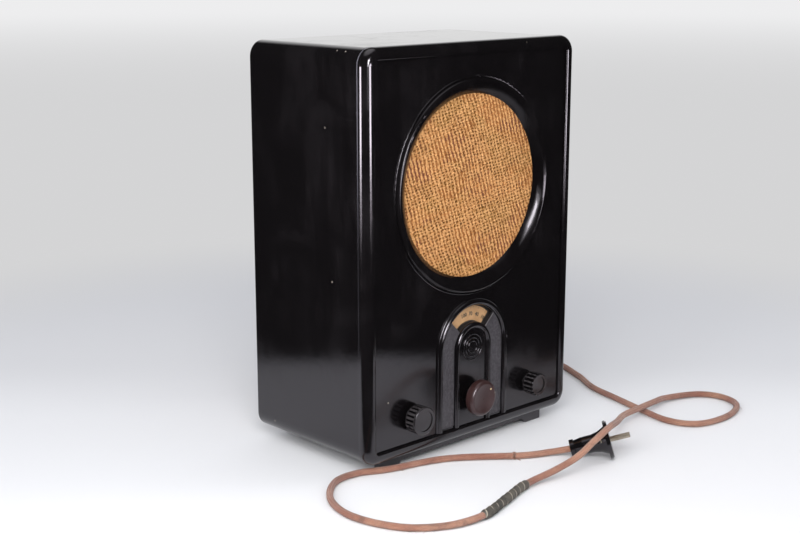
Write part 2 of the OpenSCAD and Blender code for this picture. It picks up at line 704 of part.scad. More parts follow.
module valve_bases() color("#241a16") stand() for (v = VALVES) upright(v[0], valve_base_y, v[1]) {
    difference() {
        cylinder(r = base_r, h = base_h);
        translate([0, 0, 3]) cylinder(r = base_r - 2, h = base_h);
    }
    for (k = [0:4]) rotate([0, 0, 72 * k]) translate([valve_pin_at, 0, 2 - socket_h])
        cylinder(r = valve_pin_r, h = socket_h - 1.5);
}
module bulb_section(in) {
    translate([0, -6 - in]) square([base_r - 2 - fit - in, 30]);
    translate([0, bulb_r + 4]) circle(bulb_r - in);
    translate([0, bulb_r + 4]) square([bulb_r - in, bulb_h - 2 * bulb_r - 4]);
    translate([0, bulb_h - bulb_r]) circle(bulb_r - in);
}
module valve_bulbs() color([0.75, 0.8, 0.78, 0.4]) stand() for (v = VALVES) upright(v[0], bulb_y, v[1])
    rotate_extrude() difference() {
        bulb_section(0);
        bulb_section(1.2);
        translate([-60, -20]) square([60, 200]);
    }
module valve_anodes() color("#55585a") stand() for (v = VALVES) upright(v[0], valve_base_y + 3, v[1]) {
    cylinder(r = stem_r, h = base_h + 4);
    translate([0, 0, base_h + 4]) cylinder(r = anode_r, h = anode_h);
}
module smoothing_can() color("#9b9d9a") stand() upright(can_x, deck_y, can_depth) linear_extrude(can_h)
    rounded(can_w, can_t, 4);
module resistor_board() color("#6b4a2a") stand() {
    between(resistor_front, resistor_front + resistor_l) translate([-resistor_w / 2, deck_y - sheet - 2])
        square([resistor_w, 2]);
    for (k = [-2:2]) translate([k * resistor_pitch, deck_y - sheet - 5, 0])
        between(resistor_front + 6, resistor_front + resistor_l - 6) circle(resistor_r);
}

// Back of the set
module socket_places() for (k = [0:3]) translate([strip_x + (k - 1.5) * socket_pitch, strip_y]) children();
module socket_strip() color("#2a1d16") stand() between(chassis_back, chassis_back + strip_t) difference() {
    translate([strip_x, strip_y]) rounded(strip_w, strip_h, 3);
    socket_places() circle(socket_r + 1 + fit);
}
module wander_sockets() color("#c9a24e") stand() socket_places() difference() {
    union() {
        between(chassis_back - 10, chassis_back + strip_t) circle(socket_r + 1);
        between(chassis_back + strip_t, chassis_back + strip_t + 1.2) circle(socket_r + 2);
    }
    between(chassis_back - 8, chassis_back + strip_t + 2) circle(socket_r);
}
module back_cover() color("#5a4630") stand() between(cover_front, cover_back) difference() {
    translate([0, case_h / 2]) rounded(inner_w - 2 * cover_gap, inner_h - 2 * cover_gap, inner_r - cover_gap);
    cover_places() circle(1.5 + gap);
    translate([strip_x, strip_y]) rounded(strip_w + 6, strip_h + 6, 3);
    translate([bush_x, bush_y]) circle(6 + fit);
    for (row = [0:7], x = [-70, 0, 70]) translate([x, 130 + 26 * row]) rounded(50, 5, 2.4);
    for (row = [0:1], x = [-70, 0, 70]) translate([x, 78 + 18 * row]) rounded(50, 5, 2.4);
}
module cover_screws() color("#8f8c86") stand() {
    between(cover_front - 9, cover_back) cover_places() circle(1.5);
    between(cover_back, cover_back + 1.8) cover_places() difference() {
        circle(3.5);
        square([7.2, 0.8], center = true);
    }
}
module cord_bush() color("#201a18") stand() translate([bush_x, bush_y, 0]) {
    between(cover_front - 3, cover_back) circle(6);
    between(cover_front - 3, cover_front - gap) circle(8.5);
    between(cover_back, case_d + bush_out) circle(9);
}
module strain_relief() color("#201a18") stand() translate([bush_x, bush_y, -case_d - bush_out - relief_l])
    cylinder(r1 = cord_d / 2 + 0.9, r2 = 6.4, h = relief_l);

// The cord: a tube swept along a smooth curve through its points
function unit(v) = v / norm(v);
function at(list, i) = i < 0 ? 2 * list[0] - list[1]
    : i >= len(list) ? 2 * list[len(list) - 1] - list[len(list) - 2] : list[i];
function curve(a, b, c, d, t) = (2 * b + (c - a) * t + (2 * a - 5 * b + 4 * c - d) * t * t
    + (3 * b - a - 3 * c + d) * t * t * t) / 2;
function under(t) = 0.05 + (t >= TAPE_FROM && t <= TAPE_TO ? tape_d / 2 : cord_d / 2);
function point(t) = let (i = min(floor(t), len(CORD) - 2),
    p = curve(at(CORD, i - 1), at(CORD, i), at(CORD, i + 1), at(CORD, i + 2), t - i))
    [p[0], p[1], max(p[2], under(t))];
function heading(t) = t <= 0 ? [0, 1, 0]
    : t >= len(CORD) - 1 ? [cos(plug_tilt) * cos(plug_turn), cos(plug_tilt) * sin(plug_turn), sin(plug_tilt)]
    : unit(point(t + 0.01) - point(t - 0.01));
function ring_at(t, r) = let (p = point(t), h = heading(t), s = unit(cross(h, [0, 0, 1])), u = cross(s, h))
    [for (k = [0:sides - 1]) p + r * (cos(360 * k / sides) * s + sin(360 * k / sides) * u)];
module tube(from, to, r) {
    count = (to - from) * rings;
    points = [for (k = [0:count]) each ring_at(from + k / rings, r)];
    skin = [for (k = [0:count - 1], j = [0:sides - 1]) let (a = k * sides + j, b = k * sides + (j + 1) % sides)
        each [[a, b, b + sides], [a, b + sides, a + sides]]];
    polyhedron(points, concat(skin, [[for (j = [sides - 1:-1:0]) j]],
        [[for (j = [0:sides - 1]) count * sides + j]]), convexity = 8);
}
module mains_cord() color("#7a3a28") tube(0, len(CORD) - 1, cord_d / 2);
module cord_tape() color("#4a4a44") tube(TAPE_FROM, TAPE_TO, tape_d / 2);

// The plug lies on the rim of its face and on its collar
module at_plug() translate(CORD[len(CORD) - 1]) rotate([0, 0, plug_turn]) rotate([0, -plug_tilt, 0])
    rotate([plug_roll, 0, 0]) rotate([0, 90, 0]) children();
module plug_body() color("#17151a") at_plug() difference() {
    rotate_extrude() {
        square([collar_r, 4]);
        square([6.6, plug_l]);
        polygon([[0, 4], [7, 4], [8.4, 12], [8.6, plug_l - 13], [10, plug_l - 7], [13.5, plug_l], [0, plug_l]]);
        translate([0, plug_l]) square([plug_r, 2.5]);
        translate([0, plug_l]) square([plug_r - 1, 3.5]);
    }
    for (x = [-1, 1]) translate([0, x * pin_pitch / 2, plug_l - 6]) cylinder(r = pin_r - 0.5 + fit, h = 12);
}
module plug_pins() color("#b9b4a6") at_plug() for (x = [-1, 1]) translate([0, x * pin_pitch / 2, plug_l]) {
    translate([0, 0, -5.5]) cylinder(r = pin_r - 0.5, h = 10);
    translate([0, 0, 3.5]) cylinder(r = pin_r, h = pin_l);
}

cabinet_shell();
front_moulding();
speaker_ring();
dial_arch();
cross_rails();
side_rails();
feet();
chassis_bolts();
speaker_cloth();
speaker_board();
board_screws();
speaker_basket();
speaker_cone();
speaker_magnet();
speaker_coil();
armature_reed();
chassis();
shaft_bushes();
capacitor_frame();
tuning_stator();
tuning_rotor();
rotor_shaft();
dial_disc();
dial_scale();
friction_roller();
tuning_shaft();
tuning_knob();
tuning_grub_screw();
index_dot();
reaction_capacitor();
reaction_rotor();
reaction_shaft();
reaction_knob();
reaction_grub_screw();
band_switch();
switch_wiper();
switch_shaft();
switch_knob();
switch_grub_screw();
aerial_coil();
coil_winding();
transformer_core();
transformer_coil();
valve_sockets();
valve_bases();
valve_bulbs();
valve_anodes();
smoothing_can();
resistor_board();
socket_strip();
wander_sockets();
back_cover();
cover_screws();
cord_bush();
strain_relief();
mains_cord();
cord_tape();
plug_body();
plug_pins();
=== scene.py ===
import json
import math

import bmesh
import bpy
import numpy as np
from mathutils import Matrix, Vector


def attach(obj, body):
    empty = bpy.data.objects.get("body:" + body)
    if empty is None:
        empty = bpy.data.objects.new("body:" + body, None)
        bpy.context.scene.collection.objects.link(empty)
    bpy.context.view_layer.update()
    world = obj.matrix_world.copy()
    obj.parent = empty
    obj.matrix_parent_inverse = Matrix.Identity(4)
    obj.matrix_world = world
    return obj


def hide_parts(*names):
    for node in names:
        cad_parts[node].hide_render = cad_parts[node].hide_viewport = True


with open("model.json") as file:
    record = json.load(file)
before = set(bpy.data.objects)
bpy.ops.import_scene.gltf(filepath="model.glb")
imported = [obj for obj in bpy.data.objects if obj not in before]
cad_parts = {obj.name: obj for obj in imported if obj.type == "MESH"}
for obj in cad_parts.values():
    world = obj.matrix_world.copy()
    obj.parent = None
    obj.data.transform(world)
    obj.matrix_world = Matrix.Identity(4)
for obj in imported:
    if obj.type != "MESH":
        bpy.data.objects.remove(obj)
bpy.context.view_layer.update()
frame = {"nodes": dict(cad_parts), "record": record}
NODES = frame["nodes"]
MM = 0.001
UPWARD = (0, 0, 1.0)

# Sizes repeated from the part's source, in millimetres
PANEL_Y = -72.0
FOOT_H = 12.0
SPEAKER_Y, SPEAKER_R = 244.5, 86.5
DIAL_Y, WINDOW_IN, WINDOW_OUT = 88.5, 24.6, 41.0
KNOB_X, KNOB_Y = 80.0, 36.5
LEFT_KNOB_R, RIGHT_KNOB_R = 13.4, 11.4
CORD_D, TAPE_D = 6.4, 9.4


def place(x, depth, y):
    """A point given across, behind the panel and above the cabinet's underside, in the row frame."""
    return Vector((x, PANEL_Y + depth, FOOT_H + y)) * MM


def add_object(name, data):
    """A new object in the scene."""
    made = bpy.data.objects.new(name, data)
    bpy.context.scene.collection.objects.link(made)
    return made


def aimed(back):
    """The turn that points a camera or lamp away from the direction given."""
    return back.to_track_quat("Z", "Y").to_euler()


# Camera, fitted to the photograph
AZIMUTH, ELEVATION, DISTANCE = -43.429, 12.924, 1.247257
TARGET = Vector((-0.095672, -0.072, 0.194069))
LENS, SENSOR = 62.456, 36.0


def make_camera():
    data = bpy.data.cameras.new("camera")
    data.lens = LENS
    data.sensor_width = SENSOR
    camera = add_object("camera", data)
    az, el = math.radians(AZIMUTH), math.radians(ELEVATION)
    back = Vector((math.sin(az) * math.cos(el), -math.cos(az) * math.cos(el), math.sin(el)))
    camera.location = TARGET + back * DISTANCE
    camera.rotation_euler = aimed(back)
    bpy.context.scene.camera = camera


make_camera()


# The mains cord's route, the same points as in the part's source
CORD = [
    (100, 113, 32), (105, 142, 28), (128, 168, 14), (190, 166, 3.4), (245, 116, 3.3), (267, 56, 3.3),
    (246, -3, 3.3), (224, -42, 3.3), (212, -84, 3.3), (202, -121, 3.3), (193, -165, 3.3),
    (208, -193, 3.3), (250, -199, 3.3), (287, -185, 3.3), (298, -158, 3.3), (285, -135, 3.6),
    (246, -124, 5.6), (220, -129, 8.8), (187, -134, 10.6), (153.1, -139.7, 12.4),
    (121.2, -156.1, 17.6), (89.7, -176, 27.4), (59.6, -193.2, 35.5), (32.6, -196.6, 29),
    (12.7, -194.7, 19.2), (-11.2, -188.4, 10.7), (-44, -183, 4.8), (-86, -195, 4.8),
    (-125, -205, 4.8), (-160, -197, 3.5), (-190, -172, 3.3), (-204, -128, 3.3),
    (-193.9, -88.1, 3.3), (-165, -59.4, 3.3), (-135.5, -56.1, 3.3), (-106.3, -68.6, 3.3),
    (-47.1, -86.9, 3.3), (9, -129.4, 3.3), (35, -144, 4.2), (47, -158, 8.171)]
EXIT_HEAD = (0, 1, 0)
PLUG_TILT, PLUG_TURN = math.radians(16.096), math.radians(-48)
PLUG_AXIS = (math.cos(PLUG_TILT) * math.cos(PLUG_TURN), math.cos(PLUG_TILT) * math.sin(PLUG_TURN),
             math.sin(PLUG_TILT))
TABLE_GAP = 0.05
SPLINE_STEPS = 60
BRAID_STEP, YARN_STEP = 2.0, 0.6

# The tape's first and last point on the route, the width of its turns and the length of its tapered ends
TAPE_FROM, TAPE_TO = 26, 28
TAPE_PITCH, TAPE_TAPER = 9.0, 2.5


def cord_points(step):
    """The route in equal steps: points, unit headings, arc lengths, and where the tape starts and ends."""
    given = np.array(CORD, float)
    given = np.vstack([2 * given[0] - given[1], given, 2 * given[-1] - given[-2]])
    rows = []
    for k in range(len(CORD) - 1):
        a, b, c, d = given[k:k + 4]
        for j in range(SPLINE_STEPS + (k == len(CORD) - 2)):
            t = j / SPLINE_STEPS
            p = (2 * b + (c - a) * t + (2 * a - 5 * b + 4 * c - d) * t * t
                 + (3 * b - a - 3 * c + d) * t ** 3) / 2
            taped = TAPE_FROM <= k + t <= TAPE_TO
            p[2] = max(p[2], TABLE_GAP + (TAPE_D if taped else CORD_D) / 2)
            rows.append(p)
    rows = np.array(rows)
    arc = np.concatenate([[0], np.cumsum(np.linalg.norm(np.diff(rows, axis=0), axis=1))])
    count = int(round(arc[-1] / step))
    along = np.linspace(0, arc[-1], count + 1)
    points = np.stack([np.interp(along, arc, rows[:, i]) for i in range(3)], axis=1)
    heads = np.gradient(points, axis=0)
    heads[0] = EXIT_HEAD
    heads[-1] = PLUG_AXIS
    heads /= np.linalg.norm(heads, axis=1)[:, None]
    return points, heads, along, arc[TAPE_FROM * SPLINE_STEPS], arc[TAPE_TO * SPLINE_STEPS]


def smooth_mesh(name, corners, faces):
    """A smooth mesh from its corners in metres."""
    mesh = bpy.data.meshes.new(name)
    mesh.from_pydata([tuple(corner) for corner in corners], [], faces)
    mesh.shade_smooth()
    return mesh


def tube(name, points, heads, along, radius, sides):
    """A swept, capped tube: every corner keeps its turn round the tube and its place along it."""
    side = np.cross(heads, UPWARD)
    side /= np.linalg.norm(side, axis=1)[:, None]
    up = np.cross(side, heads)
    angle = np.arange(sides) * 2 * math.pi / sides
    reach = np.array([[radius(s, a) for a in angle] for s in along])
    ring = (points[:, None] + reach[..., None] * (np.cos(angle)[None, :, None] * side[:, None]
                                                 + np.sin(angle)[None, :, None] * up[:, None]))
    faces, lay = [], []
    for i in range(len(points) - 1):
        for j in range(sides):
            k = (j + 1) % sides
            faces.append((i * sides + j, i * sides + k, (i + 1) * sides + k, (i + 1) * sides + j))
            lay += [(j / sides, along[i], 0), ((j + 1) / sides, along[i], 0),
                    ((j + 1) / sides, along[i + 1], 0), (j / sides, along[i + 1], 0)]
    last = (len(points) - 1) * sides
    faces.append(tuple(range(sides - 1, -1, -1)))
    faces.append(tuple(last + j for j in range(sides)))
    lay += [(0, along[0], 0)] * sides + [(0, along[-1], 0)] * sides
    mesh = smooth_mesh(name, ring.reshape(-1, 3) * MM, faces)
    attribute = mesh.attributes.new("lay", "FLOAT_VECTOR", "CORNER")
    attribute.data.foreach_set("vector", np.array(lay, float).ravel())
    return add_object(name, mesh)


def braid_radius(s, a):
    """The braid's radius, a little uneven along the cord and round it."""
    return CORD_D / 2 - 0.07 + 0.04 * math.sin(s / 5.3) + 0.03 * math.sin(s / 1.9 + 2 * a)


def make_tape():
    """Turns of tape that overlap like scales, thin at both ends."""
    points, heads, along, start, end = cord_points(YARN_STEP)
    held = (along >= start) & (along <= end)
    core = CORD_D / 2 + 0.15

    def radius(s, a):
        phase = (s / TAPE_PITCH - a / (2 * math.pi)) % 1
        share = min(1.0, (s - start) / TAPE_TAPER, (end - s) / TAPE_TAPER)
        lump = 0.10 * math.sin(s / 6.1 + 1) + 0.06 * math.sin(2 * a + s / 4.0)
        full = TAPE_D / 2 - 0.22 - 0.75 * phase + lump
        return core + max(0.0, share) * (full - core)

    tape = tube("tape_winding", points[held], heads[held], along[held], radius, 40)
    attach(tape, "case")
    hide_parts("cord_tape")
    return tape


def make_thread(name, at_arc, turns, pitch, thick, ends):
    """A thread wound round the cord, with its two ends left free, at a length along the route."""
    points, heads, along, _, _ = cord_points(YARN_STEP)
    middle = int(np.searchsorted(along, at_arc))
    centre, head = points[middle], heads[middle]
    side = np.cross(head, UPWARD)
    side /= np.linalg.norm(side)
    up = np.cross(side, head)
    radius = CORD_D / 2 + thick * 0.8
    steps_a_turn, end_steps = 20, 6
    line = []
    for k in range(int(turns * steps_a_turn) + 1):
        a = 2 * math.pi * k / steps_a_turn + 0.4
        line.append(centre + head * (k / steps_a_turn - turns / 2) * pitch
                    + radius * (math.cos(a) * side + math.sin(a) * up))
    first, last = line[0], line[-1]
    for k in range(1, end_steps + 1):
        f = k / end_steps
        line.insert(0, first + f * ends * (0.8 * side - 0.5 * head) + up * (f * 0.8 - f * f * 2.4))
        line.append(last + f * ends * (0.9 * side + 0.55 * head) + up * (f * 1.2 - f * f * 2.8))
    line = np.array(line)
    line[:, 2] = np.maximum(line[:, 2], thick + TABLE_GAP)
    directions = np.gradient(line, axis=0)
    directions /= np.linalg.norm(directions, axis=1)[:, None]
    made = tube(name, line, directions, np.arange(len(line)) * 0.8, lambda s, a: thick, 6)
    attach(made, "case")
    return made


def make_cord():
    points, heads, along, _, _ = cord_points(BRAID_STEP)
    cord = tube("mains_cord_braid", points, heads, along, braid_radius, 20)
    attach(cord, "case")
    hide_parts("mains_cord")
    tape = make_tape()
    knot = make_thread("thread_tie", at_arc=1515.0, turns=2.6, pitch=0.9, thick=0.42, ends=7.0)
    fray_near = make_thread("frayed_yarn_near", at_arc=1401.0, turns=0.7, pitch=0.5, thick=0.16, ends=3.0)
    fray_far = make_thread("frayed_yarn_far", at_arc=612.0, turns=0.6, pitch=0.5, thick=0.16, ends=3.5)
    return cord, tape, knot, fray_near, fray_far


CORD_PIECES = make_cord()


# Materials
class Nodes:
    """A node tree to which nodes are added one at a time. A value is a number, a colour or a socket."""

    def __init__(self, tree):
        self.tree = tree

    def node(self, kind, **values):
        made = self.tree.nodes.new(kind)
        for key, value in values.items():
            setattr(made, key, value)
        return made

    def link(self, source, target):
        if isinstance(source, (int, float)):
            target.default_value = source
        elif isinstance(source, (tuple, list)):
            target.default_value = tuple(source) + (1.0,) * (len(target.default_value) - len(source))
        else:
            self.tree.links.new(source, target)

    def fill(self, node, **values):
        """Sets or links a node's inputs by name."""
        for key, value in values.items():
            self.link(value, node.inputs[key.replace("_", " ")])
        return node

    def math(self, kind, a, b=0.0):
        made = self.node("ShaderNodeMath", operation=kind)
        self.link(a, made.inputs[0])
        self.link(b, made.inputs[1])
        return made.outputs[0]

    def times(self, first, *others):
        for other in others:
            first = self.math("MULTIPLY", first, other)
        return first

    def plus(self, a, b):
        return self.math("ADD", a, b)

    def minus(self, a, b):
        return self.math("SUBTRACT", a, b)

    def most(self, a, b):
        return self.math("MAXIMUM", a, b)

    def absolute(self, value):
        return self.math("ABSOLUTE", value)

    def reach(self, a, b):
        """Distance from an axis, given its two parts."""
        return self.math("SQRT", self.plus(self.times(a, a), self.times(b, b)))

    def ramp(self, value, low, high, start=0.0, end=1.0):
        """A soft step from start to end while the value goes from low to high."""
        made = self.node("ShaderNodeMapRange", interpolation_type="SMOOTHSTEP")
        self.fill(made, Value=value, From_Min=low, From_Max=high, To_Min=start, To_Max=end)
        return made.outputs["Result"]

    def fall(self, value, low, high):
        return self.ramp(value, low, high, 1.0, 0.0)

    def band(self, value, rise, fall):
        """1 between two soft edges, each given by where it starts and ends."""
        return self.times(self.ramp(value, *rise), self.fall(value, *fall))

    def blend(self, factor, a, b):
        """One shader passing into another."""
        made = self.node("ShaderNodeMixShader")
        for value, socket in zip((factor, a, b), made.inputs):
            self.link(value, socket)
        return made.outputs[0]


class Paint(Nodes):
    """A material, with positions taken from the object."""

    def __init__(self, name):
        self.material = bpy.data.materials.new(name)
        self.material.use_nodes = True
        super().__init__(self.material.node_tree)
        self.shader = self.tree.nodes["Principled BSDF"]
        self.place = self.node("ShaderNodeTexCoord").outputs["Object"]

    def scaled(self, x, y, z, turn=(0, 0, 0), at=None):
        made = self.node("ShaderNodeMapping")
        self.fill(made, Vector=at or self.place, Scale=(x, y, z), Rotation=turn)
        return made.outputs["Vector"]

    def noise(self, scale, detail=4.0, rough=0.5, at=None, distortion=0.0):
        made = self.node("ShaderNodeTexNoise")
        self.fill(made, Vector=at or self.place, Scale=scale, Detail=detail, Roughness=rough,
                  Distortion=distortion)
        return made.outputs["Fac"]

    def drawn_noise(self, x, y, z, detail, rough, turn=(0, 0, 0), **other):
        """Noise with its own number of grains a metre along each axis."""
        return self.noise(1.0, detail, rough, self.scaled(x, y, z, turn), **other)

    def spots(self, scale):
        """Distance from scattered points."""
        made = self.fill(self.node("ShaderNodeTexVoronoi"), Vector=self.place, Scale=scale)
        return made.outputs["Distance"]

    def wave(self, direction, at):
        made = self.node("ShaderNodeTexWave", bands_direction=direction)
        self.fill(made, Vector=at, Scale=1.0, Distortion=0.0, Detail=0.0)
        return made.outputs["Fac"]

    def mix(self, factor, a, b):
        made = self.node("ShaderNodeMix", data_type="RGBA")
        self.link(factor, made.inputs["Factor"])
        self.link(a, made.inputs[6])
        self.link(b, made.inputs[7])
        return made.outputs[2]

    def split(self, vector):
        made = self.node("ShaderNodeSeparateXYZ")
        self.link(vector, made.inputs[0])
        return made.outputs

    def about(self, z_axis):
        """How far a point lies across from the middle, and above an axis at the height given."""
        x, _, z = self.split(self.place)
        return x, self.minus(z, z_axis)

    def behind_panel(self):
        """How far a point lies behind the panel's face."""
        return self.minus(self.split(self.place)[1], PANEL_Y * MM)

    def height(self):
        return self.split(self.place)[2]

    def bump(self, height, distance, strength, under=None):
        made = self.fill(self.node("ShaderNodeBump"), Height=height, Distance=distance, Strength=strength)
        if under is not None:
            self.link(under, made.inputs["Normal"])
        return made.outputs["Normal"]

    def done(self, color, rough, normal=None, **sockets):
        self.fill(self.shader, Base_Color=color, Roughness=rough, **sockets)
        if normal is not None:
            self.link(normal, self.shader.inputs["Normal"])
        return self.material


# Heights of the axes that the mouldings' finishes go round, in metres
DIAL_Z = (FOOT_H + DIAL_Y) * MM
SPEAKER_Z = (FOOT_H + SPEAKER_Y) * MM
KNOB_Z = (FOOT_H + KNOB_Y) * MM

# The frame's back rim, behind the panel's face
RIM_DEPTH = 0.0078

MOULDED = {"IOR": 1.6, "Specular_Tint": (0.97, 0.92, 1.0, 1.0)}
BLACK, BLACK_CLOUDED = (0.0030, 0.0025, 0.0028), (0.0070, 0.0060, 0.0066)
BLACK_ROUGH, BLACK_HAZE = 0.080, 0.08


def edge(radius, start, end):
    """A soft edge from start to end beyond a radius, all in millimetres, as its two ends in metres."""
    return (radius + start) * MM, (radius + end) * MM


def polish(p, dark, light, rough, haze):
    """Cloudy handling marks, fine scratches and small pale nicks: colour, roughness and normal."""
    marks = p.times(p.ramp(p.noise(11.0, 6.0, 0.62, distortion=0.7), 0.42, 0.66),
                    p.ramp(p.drawn_noise(48.0, 48.0, 11.0, 6.0, 0.65), 0.34, 0.62))
    nicks = p.times(p.fall(p.spots(55.0), 0.035, 0.055), p.ramp(p.noise(14.0, 2.0), 0.56, 0.60))
    color = p.mix(nicks, p.mix(marks, dark, light), (0.22, 0.19, 0.16))
    roughness = p.plus(p.plus(p.times(marks, haze), rough), p.times(nicks, 0.4))
    uneven = p.bump(p.noise(160.0, 2.0, 0.5), 0.00012, 0.22)
    scratches = p.drawn_noise(900.0, 900.0, 40.0, 3.0, 0.7)
    return color, roughness, p.bump(scratches, 0.00003, 0.16, uneven)


def dulled(p, roughness):
    """Roughness that rises near the table and on the loudspeaker ring's dusty inner border."""
    near_table = p.times(p.fall(p.height(), 0.05, 0.13), 0.10)
    return p.most(p.plus(roughness, near_table), p.times(ring_shade(p), 0.22))


def ring_shade(p):
    """1 on the loudspeaker ring's inner border, above its middle."""
    x, over = p.about(SPEAKER_Z)
    border = p.band(p.reach(x, over), edge(SPEAKER_R, -1.0, -0.5), edge(SPEAKER_R, 5.5, 12.5))
    return p.times(border, p.ramp(over, 0.0, 0.03))


def bakelite(name, dark=BLACK, light=BLACK_CLOUDED, rough=BLACK_ROUGH, haze=BLACK_HAZE, shine=0.5):
    """Polished moulding."""
    p = Paint(name)
    color, roughness, normal = polish(p, dark, light, rough, haze)
    return p.done(color, dulled(p, roughness), normal, Specular_IOR_Level=shine, **MOULDED)


def panel_moulding(name):
    """The front panel: polished, with stippled strips in its arch lightened as a painted sheen, chips along
    its rim, and painted highlights along the rim and the window's right-hand end.
    """
    p = Paint(name)
    color, roughness, normal = polish(p, BLACK, BLACK_CLOUDED, BLACK_ROUGH, BLACK_HAZE)
    roughness = dulled(p, roughness)
    strips = arch_strips(p)
    stipple = p.noise(520.0, 3.0, 0.7)
    # The strips' two-tone speckle, lightened to grey as a painted sheen of their rough surface
    speckle_and_sheen = p.mix(p.ramp(stipple, 0.35, 0.70), (0.022, 0.020, 0.023), (0.060, 0.056, 0.062))
    color = p.mix(strips, color, speckle_and_sheen)
    roughness = p.plus(roughness, p.times(strips, 0.34))
    normal = p.bump(p.times(stipple, strips), 0.00050, 0.9, normal)
    cut = window_sides(p)
    color = p.mix(cut, color, (0.004, 0.0035, 0.0035))
    roughness = p.most(roughness, p.times(cut, 0.95))
    # Painted highlight along the frame's back rim, brighter towards the top
    color = p.mix(rim_highlight_line(p), color, (0.115, 0.110, 0.130))
    # Pale chips along the rim are wear; the pale line along the window's right-hand edge is a painted
    # highlight
    worn = p.most(window_edge_highlight(p), rim_chips(p))
    color = p.mix(worn, color, (0.17, 0.16, 0.165))
    roughness = p.most(roughness, p.times(worn, 0.5))
    return p.done(color, roughness, normal, **MOULDED)


def ribbed_knob(name):
    """The two black knobs: grooves darkened as painted shade, and ribs painted pale, partly a painted
    highlight and partly rubbed by fingers.
    """
    p = Paint(name)
    color, roughness, normal = polish(p, (0.011, 0.0100, 0.0105), (0.022, 0.0190, 0.0200), 0.13, 0.12)
    inward, flank = grip(p)
    # Painted shade in the grooves between the ribs
    groove_shade = p.times(flank, p.fall(inward, -0.00045, -0.00015))
    # The ribs painted pale: partly a painted highlight, partly rubbing by fingers, patchy along the knob
    patchy = p.ramp(p.noise(300.0, 3.0, 0.6), 0.30, 0.62, 0.35, 1.0)
    rib_highlight_and_rub = p.times(flank, patchy, p.ramp(inward, -0.00012, -0.00004))
    color = p.mix(rib_highlight_and_rub, p.mix(groove_shade, color, (0.0022, 0.0019, 0.0021)), (0.042, 0.038, 0.040))
    return p.done(color, roughness, normal, **MOULDED)


def arch_strips(p):
    """1 on the two stippled strips between the ridges of the arch, 0 elsewhere."""
    x, over = p.about(DIAL_Z)
    out = p.reach(x, p.most(over, 0.0))
    between_ridges = p.band(out, edge(WINDOW_IN, -0.2, 0.4), edge(WINDOW_OUT, -0.2, 0.4))
    return p.times(between_ridges, p.ramp(p.height(), 0.0262, 0.0268))


def window_sides(p):
    """1 on the cut sides of the dial window, behind the panel's face."""
    x, over = p.about(DIAL_Z)
    near = p.times(p.fall(p.reach(x, over), *edge(WINDOW_OUT, 1.0, 1.4)), p.ramp(over, 0.010, 0.011))
    return p.times(near, p.ramp(p.behind_panel(), 0.0003, 0.0005))


def window_edge_highlight(p):
    """A painted highlight: a hair line along the right-hand end of the dial window."""
    x, over = p.about(DIAL_Z)
    line = p.fall(p.absolute(p.minus(p.minus(x, over), 0.0004)), 0.0003, 0.0006)
    span = p.band(p.reach(x, over), edge(WINDOW_IN, 0.4, 1.0), edge(WINDOW_OUT, -0.8, 0.0))
    on_face = p.fall(p.behind_panel(), 0.0001, 0.0003)
    return p.times(line, span, p.ramp(over, 0.0145, 0.0165), on_face)


def rim_chips(p):
    """Small chips along the frame's back rim."""
    chips = p.ramp(p.noise(330.0, 3.0, 0.7), 0.65, 0.70)
    return p.times(p.ramp(p.behind_panel(), RIM_DEPTH - 0.0003, RIM_DEPTH + 0.0012), chips)


def rim_highlight_line(p):
    """A painted highlight along the frame's back rim, faint low down and strong on the upper half."""
    line = p.fall(p.absolute(p.minus(p.behind_panel(), RIM_DEPTH)), 0.0004, 0.0009)
    return p.times(line, p.ramp(p.height(), 0.20, 0.34, 0.10, 0.85))


def grip(p):
    """Distance from the nearer knob's axis less its radius, and 1 on its gripped flank."""
    x, up = p.about(KNOB_Z)
    out = p.reach(p.minus(p.absolute(x), KNOB_X * MM), up)
    radius = p.ramp(x, -0.001, 0.001, LEFT_KNOB_R * MM, RIGHT_KNOB_R * MM)
    return p.minus(out, radius), p.band(p.behind_panel(), (-0.0160, -0.0152), (-0.0057, -0.0053))


def metal(name, color, rough, grain=(40.0, 900.0, 900.0), tarnish=(0.5, 0.42, 0.34), wear=0.5):
    """Plated or bare metal with a drawn grain and dull patches."""
    p = Paint(name)
    patch = p.ramp(p.noise(45.0, 4.0, 0.6), 0.42, 0.68)
    lines = p.drawn_noise(*grain, 3.0, 0.6)
    dull = tuple(c * t for c, t in zip(color, tarnish))
    roughness = p.plus(p.plus(p.times(patch, 0.25), p.times(lines, 0.18)), rough - 0.09)
    shade = p.mix(p.times(patch, wear), color, dull)
    return p.done(shade, roughness, p.bump(lines, 0.00004, 0.35), Metallic=1.0)


def plain(name, color, other, rough, scale=40.0, bump=0.25, depth=0.0002, **sockets):
    """Paper, paint, laminate or rubber: two tones, uneven sheen and a fine relief."""
    p = Paint(name)
    tone = p.ramp(p.noise(scale, 5.0, 0.6), 0.4, 0.65)
    speck = p.noise(scale * 12.0, 2.0, 0.5)
    shade = p.mix(p.times(tone, p.ramp(speck, 0.3, 0.7, 0.7, 1.0)), color, other)
    roughness = p.plus(p.times(tone, 0.14), rough - 0.07)
    return p.done(shade, roughness, p.bump(p.plus(speck, tone), depth, bump), **sockets)


def wood(name, color, other):
    """Bare plywood with long grain."""
    p = Paint(name)
    grain = p.drawn_noise(220.0, 220.0, 12.0, 6.0, 0.65, distortion=0.4)
    return p.done(p.mix(p.ramp(grain, 0.35, 0.7), color, other), 0.7, p.bump(grain, 0.0003, 0.4))


def glass(name):
    """Clear glass, a little dusty."""
    p = Paint(name)
    dust = p.ramp(p.noise(30.0, 4.0, 0.6), 0.4, 0.75, 0.03, 0.16)
    return p.done((0.93, 0.96, 0.95), dust, Transmission_Weight=1.0, IOR=1.5)


